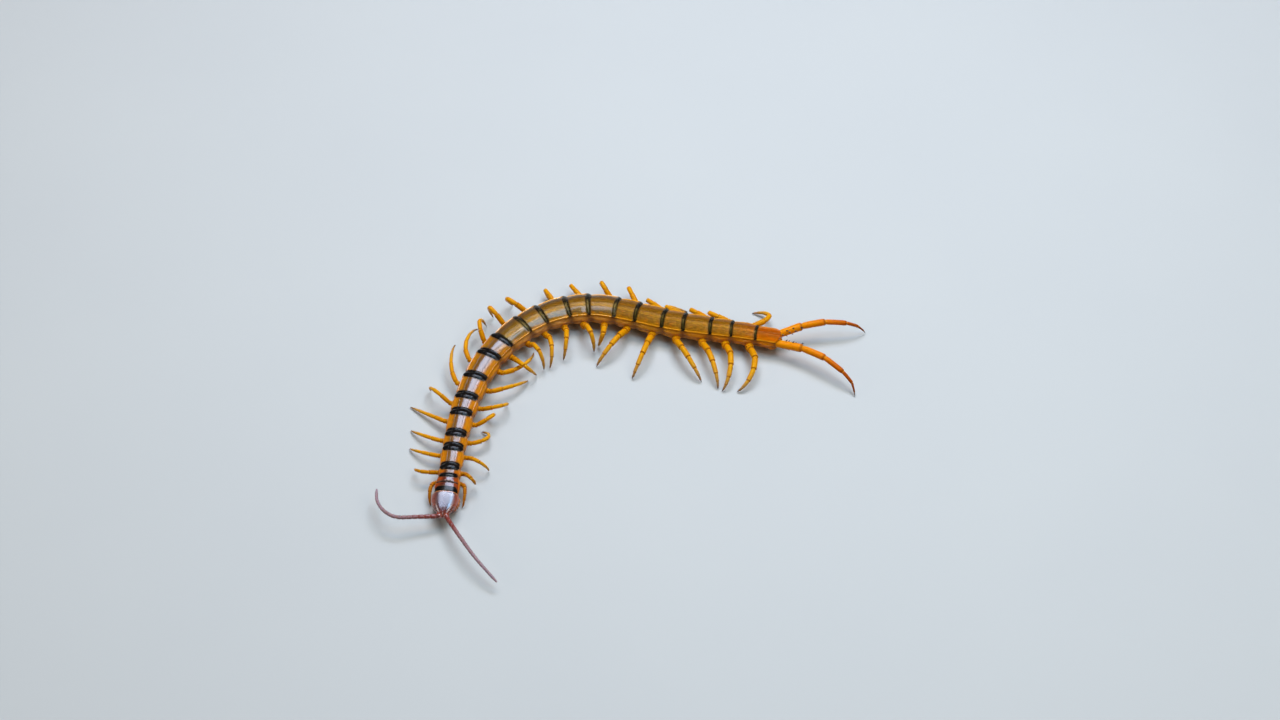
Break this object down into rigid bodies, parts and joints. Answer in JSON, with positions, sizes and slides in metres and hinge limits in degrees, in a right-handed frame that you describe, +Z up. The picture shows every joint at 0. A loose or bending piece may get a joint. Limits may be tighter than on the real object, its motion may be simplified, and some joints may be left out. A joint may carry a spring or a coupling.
{
  "type": "banded centipede",
  "caption": "Life-size still model of a tropical banded centipede: a long curved body of shell plates on many splayed legs, with feelers in front and long legs trailing behind.",
  "frame": {"origin": "on the floor under the middle of the model's bounding box", "axes": "+Z up from the floor; +X to the tail end of the bent body, the longest side of the box; the head points roughly along -Y"},
  "size_m": [0.0932, 0.0716, 0.0056],
  "materials": {
    "head_shell": "glossy dark mahogany chitin, translucent at its edges",
    "trunk_shell": "glossy golden-brown back plates, each with a black rear band; orange-yellow skin between plates and on the flanks",
    "leg_shell": "satin amber chitin, greyer brown to the claw-tipped feet",
    "last_leg_shell": "satin orange chitin with small dark spines",
    "antenna_shell": "red-brown, finely haired, duller to the tip",
    "poison_claw_shell": "glossy orange-red chitin with a black fang tip",
    "eye": "glossy black simple eyes"
  },
  "bodies": {
    "root": {"head": "head_shell", "eye_right": "eye", "eye_left": "eye", "forcipule_right": "poison_claw_shell", "forcipule_left": "poison_claw_shell", "antenna_right": "antenna_shell", "antenna_left": "antenna_shell", "trunk_01": "trunk_shell", "trunk_02_03": "trunk_shell", "trunk_04_05": "trunk_shell", "trunk_06_07": "trunk_shell", "trunk_08_09": "trunk_shell", "trunk_10_11": "trunk_shell", "trunk_12_13": "trunk_shell", "trunk_14_15": "trunk_shell", "trunk_16_17": "trunk_shell", "trunk_18_19": "trunk_shell", "trunk_20_21": "trunk_shell", "leg_right_01": "leg_shell", "leg_right_02": "leg_shell", "leg_right_03": "leg_shell", "leg_right_04": "leg_shell", "leg_right_05": "leg_shell", "leg_right_06": "leg_shell", "leg_right_07": "leg_shell", "leg_right_08": "leg_shell", "leg_right_09": "leg_shell", "leg_right_10": "leg_shell", "leg_right_11": "leg_shell", "leg_right_12": "leg_shell", "leg_right_13": "leg_shell", "leg_right_14": "leg_shell", "leg_right_15": "leg_shell", "leg_right_16": "leg_shell", "leg_right_17": "leg_shell", "leg_right_18": "leg_shell", "leg_right_19": "leg_shell", "leg_right_20": "leg_shell", "leg_right_21": "last_leg_shell", "leg_left_01": "leg_shell", "leg_left_02": "leg_shell", "leg_left_03": "leg_shell", "leg_left_04": "leg_shell", "leg_left_05": "leg_shell", "leg_left_06": "leg_shell", "leg_left_07": "leg_shell", "leg_left_08": "leg_shell", "leg_left_09": "leg_shell", "leg_left_10": "leg_shell", "leg_left_11": "leg_shell", "leg_left_12": "leg_shell", "leg_left_13": "leg_shell", "leg_left_14": "leg_shell", "leg_left_15": "leg_shell", "leg_left_16": "leg_shell", "leg_left_17": "leg_shell", "leg_left_18": "leg_shell", "leg_left_19": "leg_shell", "leg_left_20": "leg_shell", "leg_left_21": "last_leg_shell"}
  },
  "joints": []
}
